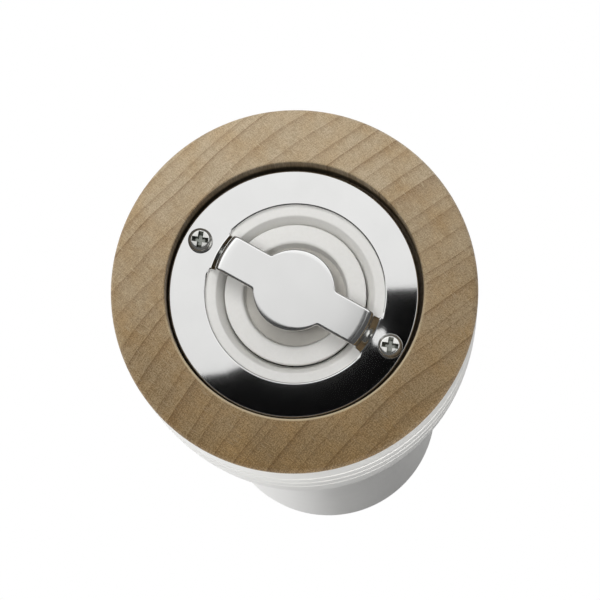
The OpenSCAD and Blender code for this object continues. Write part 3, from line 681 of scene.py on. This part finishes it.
def toe_half(r):
    """Half width of the bar at a radius, with the 0.5 mm corners where it meets the hole's rim."""
    if r < 13.78:
        return BAR_HALF
    reach = HOLE_R - 0.5
    corner = math.asin((BAR_HALF + 0.5) / reach)
    swing = math.acos(min(1, (r * r + reach * reach - 0.25) / (2 * r * reach)))
    return r * math.sin(corner - swing)


rows = [(DISC_R * math.sin(math.radians(a)), BRIDGE_Z, DISC_R * math.cos(math.radians(a)))
        for a in list(range(0, 57, 4)) + [59.05]]
rows += [(x, BRIDGE_Z, y) for x, y in arc(6.177, 3.7, 0.6, 220, 270, 4)]
rows += [(DISC_R + 0.7 * i, BRIDGE_Z, BAR_HALF) for i in range(9)]
rows += [(x, z, BAR_HALF) for x, z in arc(FLAT_R, BRIDGE_Z + LEG_BEND, LEG_BEND, 270, 360, 8)]
rows += [(LEG_R, z, BAR_HALF) for z in (1.8, 2.2, 2.6)]
# The press sets the toe down at 45 degrees, with a small bend above and below
toe = arc(LEG_R + TOE_BEND, 2.9, TOE_BEND, 180, 135, 3)
toe += arc(14.3, PLATE_Z - TOE_BEND, TOE_BEND, 135, 90, 3)
toe += [(14.34, PLATE_Z), (14.38, PLATE_Z)]
rows += [(r, z, toe_half(r)) for r, z in toe]
rows += [(HOLE_R, PLATE_Z, HOLE_R * math.sin(2 * math.pi * HALF_COLUMNS / COLUMNS))]
print("bridge rows", len(rows))

# %% Bridge pressed from a grid
bpy.ops.object.select_all(action="DESELECT")
bpy.ops.mesh.primitive_grid_add(x_subdivisions=2 * len(rows) - 2,
                                y_subdivisions=2 * HALF_COLUMNS, size=2)
bridge = bpy.context.object
bridge.name = "pressed_bridge"
for vertex in bridge.data.vertices:
    step = round(vertex.co.x * (len(rows) - 1))
    share = round(vertex.co.y * HALF_COLUMNS) / HALF_COLUMNS
    reach, height, half = rows[abs(step)]
    curl = ease(min(1, max(0, (reach - DISC_R) / 4)))
    swing = share * math.asin(min(1, half / max(reach, half)))
    x = (1 - curl) * reach + curl * reach * math.cos(swing)
    y = (1 - curl) * share * half + curl * reach * math.sin(swing)
    vertex.co = (math.copysign(x, step) * MM, y * MM, height * MM)
only(bridge)
plate.select_set(True)
bpy.context.view_layer.objects.active = plate
bpy.ops.object.join()
bpy.ops.object.mode_set(mode="EDIT")
bpy.ops.mesh.select_all(action="SELECT")
bpy.ops.mesh.remove_doubles(threshold=0.01 * MM)
bpy.ops.mesh.normals_make_consistent(inside=False)
bpy.ops.object.mode_set(mode="OBJECT")
if sum(face.normal.z for face in plate.data.polygons) > 0:
    plate.data.flip_normals()
print("plate before its thickness:", len(plate.data.vertices), "vertices")

# %% Thickness and stamped edges
uses = {}
for face in plate.data.polygons:
    for key in face.edge_keys:
        uses[key] = uses.get(key, 0) + 1
rim_edges = {key for key, count in uses.items() if count == 1}
only(plate)
thick = plate.modifiers.new("sheet", "SOLIDIFY")
thick.thickness = SHEET * MM
thick.offset = -1
thick.use_even_offset = True
bpy.ops.object.modifier_apply(modifier=thick.name)


def bevel_rim(keys, width, segments):
    """Rounds the plate's edges that are given by their vertex pairs."""
    bpy.ops.object.mode_set(mode="EDIT")
    bpy.ops.mesh.select_mode(type="EDGE")
    bpy.ops.mesh.select_all(action="DESELECT")
    bpy.ops.object.mode_set(mode="OBJECT")
    for edge in plate.data.edges:
        edge.select = tuple(sorted(edge.vertices)) in keys
    bpy.ops.object.mode_set(mode="EDIT")
    bpy.ops.mesh.bevel(offset=width * MM, segments=segments, affect="EDGES")
    bpy.ops.object.mode_set(mode="OBJECT")


def reach_of(vertex):
    """Distance of a vertex from the shaft, in mm."""
    return math.hypot(vertex.co.x, vertex.co.y) / MM


bevel_rim({key for key in rim_edges if reach_of(plate.data.vertices[key[0]]) < 15}, 0.25, 4)
outer = {tuple(sorted(edge.vertices)) for edge in plate.data.edges
         if all(reach_of(plate.data.vertices[i]) > PLATE_R - 0.02
                and plate.data.vertices[i].co.z < (PLATE_Z + 0.1) * MM for i in edge.vertices)}
bevel_rim(outer, 0.22, 4)
# The blank was cut off centre, so the gap round it is wider at the picture's right
OFF_CENTRE, MOVED_FROM, MOVED_OVER = 0.25, 19.2, 0.5
for vertex in plate.data.vertices:
    share = min(1, max(0, (reach_of(vertex) - MOVED_FROM) / MOVED_OVER))
    vertex.co -= OFF_CENTRE * MM * share * right
print("plate with rounded edges:", len(plate.data.polygons), "faces")

# %% Plate's screw holes
for x in (-SCREW_X, SCREW_X):
    combine(plate, drill("screw_hole", x, 0, PLATE_Z - 1, PLATE_Z + 2, 1.6), "DIFFERENCE")
place_piece(plate, "base", "base_plate", "polished_steel", polished_sheet)
only(plate)
even = plate.modifiers.new("even_shading", "WEIGHTED_NORMAL")
even.keep_sharp = True
even.weight = 80
bpy.ops.object.modifier_apply(modifier=even.name)

# %% [markdown]
# ## Plate screws
# Two small pan-head screws hold the plate. A screw could be a cylinder with a painted cross. In
# the picture the cross is a dark pit with bright walls, so it is cut with a tapered punch, as a
# real one is pressed. One screw is made, and its copy gets a mesh of its own.

# %% Screw
HEAD_R, HEAD_H, FACE_R, FACE_RISE = 2.0, 1.35, 1.3, 0.02
THREADS, THREAD_STEP, CREST_R, ROOT_R = 15, 0.4, 1.08, 0.82
PUNCH, PUNCH_TIP, SKEW = (3.1 * MM, 0.95 * MM, 1.2 * MM), 0.5, math.radians(4)
outline = [(FACE_R * i / 5, PLATE_Z - HEAD_H + FACE_RISE * (i / 5) ** 2) for i in range(5)]
outline += [(FACE_R + (HEAD_R - FACE_R) * math.sin(math.radians(9 * i)),
             PLATE_Z - 0.4 - (HEAD_H - 0.4 - FACE_RISE) * math.cos(math.radians(9 * i))) for i in range(11)]
outline += arc(HEAD_R - 0.15, PLATE_Z - 0.15, 0.15, 0, 90, 3)
outline += [(1.1, PLATE_Z)]
for turn in range(THREADS):
    outline += [(CREST_R, PLATE_Z + 0.9 + THREAD_STEP * turn), (ROOT_R, PLATE_Z + 1.1 + THREAD_STEP * turn)]
outline += [(0.9, PLATE_Z + 7), (0.3, PLATE_Z + 8.6), (0, PLATE_Z + 9)]
screw = turned("plate_screw", outline, 48)


def punch(turn):
    """One arm of the punch: a bar that narrows to its tip, turned round the screw."""
    bpy.ops.object.select_all(action="DESELECT")
    bpy.ops.mesh.primitive_cube_add(size=1, location=(0, 0, (PLATE_Z - HEAD_H + 0.3) * MM))
    tool = bpy.context.object
    tool.scale = PUNCH
    tool.rotation_euler = (0, 0, math.radians(turn))
    bpy.ops.object.transform_apply(location=False, rotation=False, scale=True)
    for vertex in tool.data.vertices:
        if vertex.co.z > 0:
            vertex.co.x *= PUNCH_TIP
            vertex.co.y *= PUNCH_TIP
    return tool


for turn in (-21, 69):
    combine(screw, punch(turn), "DIFFERENCE")
only(screw)
bpy.ops.object.duplicate()
other = bpy.context.object
other.name = "plate_screw_far"
# The near screw was driven askew: its head leans 4 degrees towards the top of the picture
for vertex in screw.data.vertices:
    share = min(1, max(0, (PLATE_Z - 0.1 - vertex.co.z / MM) / (HEAD_H - 0.1)))
    vertex.co.z -= math.tan(SKEW) * share * vertex.co.dot(down)
for piece, x in ((screw, SCREW_X), (other, -SCREW_X)):
    pits = [face.index for face in piece.data.polygons if math.hypot(*face.center.xy) < 1.5 * MM
            and (PLATE_Z - HEAD_H + 0.15) * MM < face.center.z < PLATE_Z * MM]
    piece.data.transform(Matrix.Translation((x * MM, 0, 0)))
    place_piece(piece, "base", "base_plate_screws", "plated_steel", zinc_plate, pit_steel_painted_shade)
    # The pits take the darker steel, which paints their shade
    for index in pits:
        piece.data.polygons[index].material_index = 1

# %% [markdown]
# ## Grinder
# The stator is a fixed ring and the rotor a cone that turns in it. Both are fired, so no edge is
# sharp. They could stay as CAD solids, but their soft rims catch the light between the plate and
# the bridge. The teeth are cut by bars set round the shaft, one bar copied by equal turns.

# %% Stator
def cut_teeth(piece, count, tool):
    """Cuts a ring of equal grooves with one tool that is copied round the shaft."""
    for i in range(1, count):
        copy = tool.copy()
        copy.data = tool.data.copy()
        bpy.context.scene.collection.objects.link(copy)
        copy.data.transform(Matrix.Rotation(2 * math.pi * i / count, 4, "Z"))
        combine(piece, copy, "DIFFERENCE")
    combine(piece, tool, "DIFFERENCE")


def tooth_bar(length, place):
    """A bar as wide and deep as one groove of the grinder, set in its place."""
    bpy.ops.object.select_all(action="DESELECT")
    bpy.ops.mesh.primitive_cube_add(size=1)
    bar = bpy.context.object
    bar.data.transform(Matrix.Diagonal((1.6 * MM, 1.3 * MM, length * MM, 1)))
    bar.data.transform(place)
    return bar


MOUTH_R, STATOR_R, THROAT_R, STATOR_TOP = 12.45, 15.0, 11.75, 16.8
outline = arc(MOUTH_R + 0.55, SEAT_Z + 0.35, 0.35, 210, 270, 4)
outline += arc(STATOR_R - 0.2, SEAT_Z + 0.2, 0.2, 270, 360, 3)
outline += arc(STATOR_R - 0.2, STATOR_TOP - 0.2, 0.2, 0, 90, 3)
outline += [(THROAT_R, STATOR_TOP), (THROAT_R, SEAT_Z + 3.6), (THROAT_R - 0.28, SEAT_Z + 3.2)]
outline += [(THROAT_R - 0.28, SEAT_Z + 2.6)]
stator = turned("stator", outline, 120)
for y in (-STATOR_R, STATOR_R):
    combine(stator, drill("rib", 0, y, SEAT_Z, STATOR_TOP, 1), "UNION")
cut_teeth(stator, 20, tooth_bar(14, Matrix.Translation((THROAT_R * MM, 0, (SEAT_Z + 3.8 + 7) * MM))))
place_piece(stator, "base", "stator_ring", "white_ceramic", unglazed_ceramic)

# %% Rotor
ROTOR_R, HOLLOW_R, ROTOR_Z, ROTOR_TOP, HOLLOW_Z = 11.4, 8.35, 5.3, 18.3, 9.3
outline = arc(HOLLOW_R + 0.6, ROTOR_Z + 0.6, 0.6, 190, 270, 6)
outline += arc(ROTOR_R - 0.25, ROTOR_Z + 0.25, 0.25, 270, 360, 4)
outline += [(ROTOR_R, ROTOR_Z + 1.2)] + arc(8.2, ROTOR_TOP - 0.2, 0.2, 15, 90, 3)
outline += [(0, ROTOR_TOP), (0, HOLLOW_Z), (HOLLOW_R - 1.1, HOLLOW_Z)]
outline += arc(HOLLOW_R - 1.1, HOLLOW_Z - 0.5, 0.5, 60, 10, 3)
rotor = turned("rotor_cone", outline, 120)
combine(rotor, drill("carrier_hexagon", 0, 0, ROTOR_Z, ROTOR_TOP + 1, 6.1, 6), "DIFFERENCE")
slope = Matrix.Rotation(math.radians(14), 4, "X") @ Matrix.Rotation(-math.atan2(3, 11.8), 4, "Y")
start = Matrix.Translation((ROTOR_R * MM, 0, (ROTOR_Z + 2.5) * MM))
cut_teeth(rotor, 16, tooth_bar(26, start @ slope @ Matrix.Translation((0, 0, 13 * MM))))
place_piece(rotor, "drive", "rotor", "white_ceramic", unglazed_ceramic)

# %% [markdown]
# ## Spring
# A wire spring presses the rotor down on its setting. A curve with a round section could draw it.
# Here a small circle is wound round the shaft by the Screw modifier, much as a coiling machine
# feeds wire past its former. In the mill the spring shortens when the knob draws the rotor up.

# %% Spring
WIRE_R, COIL_R, TURNS, SPRING_Z, SPRING_TOP, GRIND_TRAVEL = 0.39, 5.6, 6, 20.0, 29.2, 1.6
END_ROOM = 0.4
bpy.ops.object.select_all(action="DESELECT")
bpy.ops.mesh.primitive_circle_add(vertices=16, radius=WIRE_R * MM)
spring = bpy.context.object
spring.name = "coil_spring"
spring.data.transform(Matrix.Rotation(math.pi / 2, 4, "X"))
spring.data.transform(Matrix.Translation((COIL_R * MM, 0, (SPRING_Z + END_ROOM) * MM)))
wind = spring.modifiers.new("wind", "SCREW")
wind.screw_offset = (SPRING_TOP - SPRING_Z - 2 * END_ROOM) / TURNS * MM
wind.iterations = TURNS
wind.steps = 40
wind.render_steps = 40
bpy.ops.object.modifier_apply(modifier=wind.name)
bpy.ops.object.mode_set(mode="EDIT")
bpy.ops.mesh.select_all(action="SELECT")
bpy.ops.mesh.fill_holes(sides=16)
bpy.ops.mesh.normals_make_consistent(inside=False)
bpy.ops.object.mode_set(mode="OBJECT")
place_piece(spring, "base", "grinder_spring", "plated_steel", spring_wire)
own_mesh(spring)

# %% [markdown]
# ## Head, washer and knob
# The head swells a little and closes in a round crown. The washer lies in the crown and the knob
# screws down on it. All three are lathe work, so each is one outline with its edges broken.

# %% Head
HEAD_Z, HEAD_TOP, HEAD_MAX, WIDE_Z, CROWN_R = 121.2, 180.2, 22.3, 163.2, 10.8
BORE_R, WASHER_R, WASHER_Z, SWELL_Z = 4.6, 10, 179.2, 122
outline = [(BORE_R, 112.3)] + arc(13.6, 112.6, 0.3, 270, 360, 3) + [(13.9, HEAD_Z)]
outline += arc(NECK_R - NECK_ROUND, HEAD_Z + NECK_ROUND, NECK_ROUND, 270, 360)
outline += [(NECK_R + (HEAD_MAX - NECK_R) * ease(i / 32), SWELL_Z + (WIDE_Z - SWELL_Z) * i / 32)
            for i in range(1, 33)]
outline += [(CROWN_R + (HEAD_MAX - CROWN_R) * math.cos(math.radians(3 * i)),
             WIDE_Z + 17 * math.sin(math.radians(3 * i))) for i in range(1, 31)]
outline += arc(10.35, HEAD_TOP - 0.25, 0.25, 90, 180, 3) + [(WASHER_R + 0.1, WASHER_Z), (BORE_R, WASHER_Z)]
head = turned("turned_head", outline, 128)
for x in (-8, 8):
    combine(head, drill("pilot_hole", x, 0, 111.3, 121.3, 1.02), "DIFFERENCE")
place_piece(head, "top", "head", "lacquered_beech", bare_beech, white_lacquer)
for face in head.data.polygons:
    centre = face.center / MM
    face.material_index = int(math.hypot(centre.x, centre.y) > 10.3 and centre.z > HEAD_Z + 0.1)

# %% Washer
outline = [(BORE_R, WASHER_Z), (WASHER_R, WASHER_Z)]
outline += arc(WASHER_R - 0.25, HEAD_TOP - 0.25, 0.25, 0, 90, 4) + [(BORE_R, HEAD_TOP)]
washer = turned("crown_washer", outline, 96)
place_piece(washer, "top", "top_washer", "polished_steel", knob_steel)
print("washer", 2 * WASHER_R, "mm across")

# %% Knob
KNOB_Z, DOME_Z, DOME_R, DOME_H = 180.3, 189.2, 8.4, 6.0
STEM_R, STEM_Z = 7.0, KNOB_Z + 1.4
under = math.radians(-40)
rim = (DOME_R * math.cos(under), DOME_Z + DOME_H * math.sin(under))
outline = [(4.02, KNOB_Z)] + arc(6.95, KNOB_Z + 0.25, 0.25, 270, 360, 3)
outline += arc(6.95, KNOB_Z + 1.15, 0.25, 0, 90, 3)
outline += [(STEM_R + (rim[0] - STEM_R) * t - 1.1 * math.sin(math.pi * t), STEM_Z + (rim[1] - STEM_Z) * t)
            for t in [i / 14 for i in range(1, 14)]]
outline += [(DOME_R * math.cos(a), DOME_Z + DOME_H * math.sin(a))
            for a in [under + (math.pi / 2 - under) * i / 28 for i in range(29)]]
outline += [(0, 190.8), (4.02, 190.8)]
knob = turned("turned_knob", outline, 96)
place_piece(knob, "adjuster", "knob", "polished_steel", knob_steel)

# %% [markdown]
# ## Pieces that stay as they are
# Washers, the clip, the shaft and the plastic parts already have their shape in CAD.
# They only need the look of what they are made of, so each gets one of the finishes above.

# %% Finishes for the CAD pieces
finishes = {
    nickel_plate: ("spring_seat", "thrust_washer", "carrier_washer", "shaft_clip", "drive_plate"),
    zinc_plate: ("drive_plate_screws",),
    moulded_nylon: ("pivot_pad", "shaft_guide", "slip_ring", "knob_lock_ring"),
    nylon_painted_shade: ("rotor_carrier",),
    drawn_aluminium: ("drive_shaft",),
    turned_brass: ("knob_insert",),
}
for material, names in finishes.items():
    for name in names:
        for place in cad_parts[name].material_slots:
            place.material = material
        print(name, "in", material.name)

# %% [markdown]
# Last, the scene is brought up to date.

# %% Finish
bpy.context.view_layer.update()
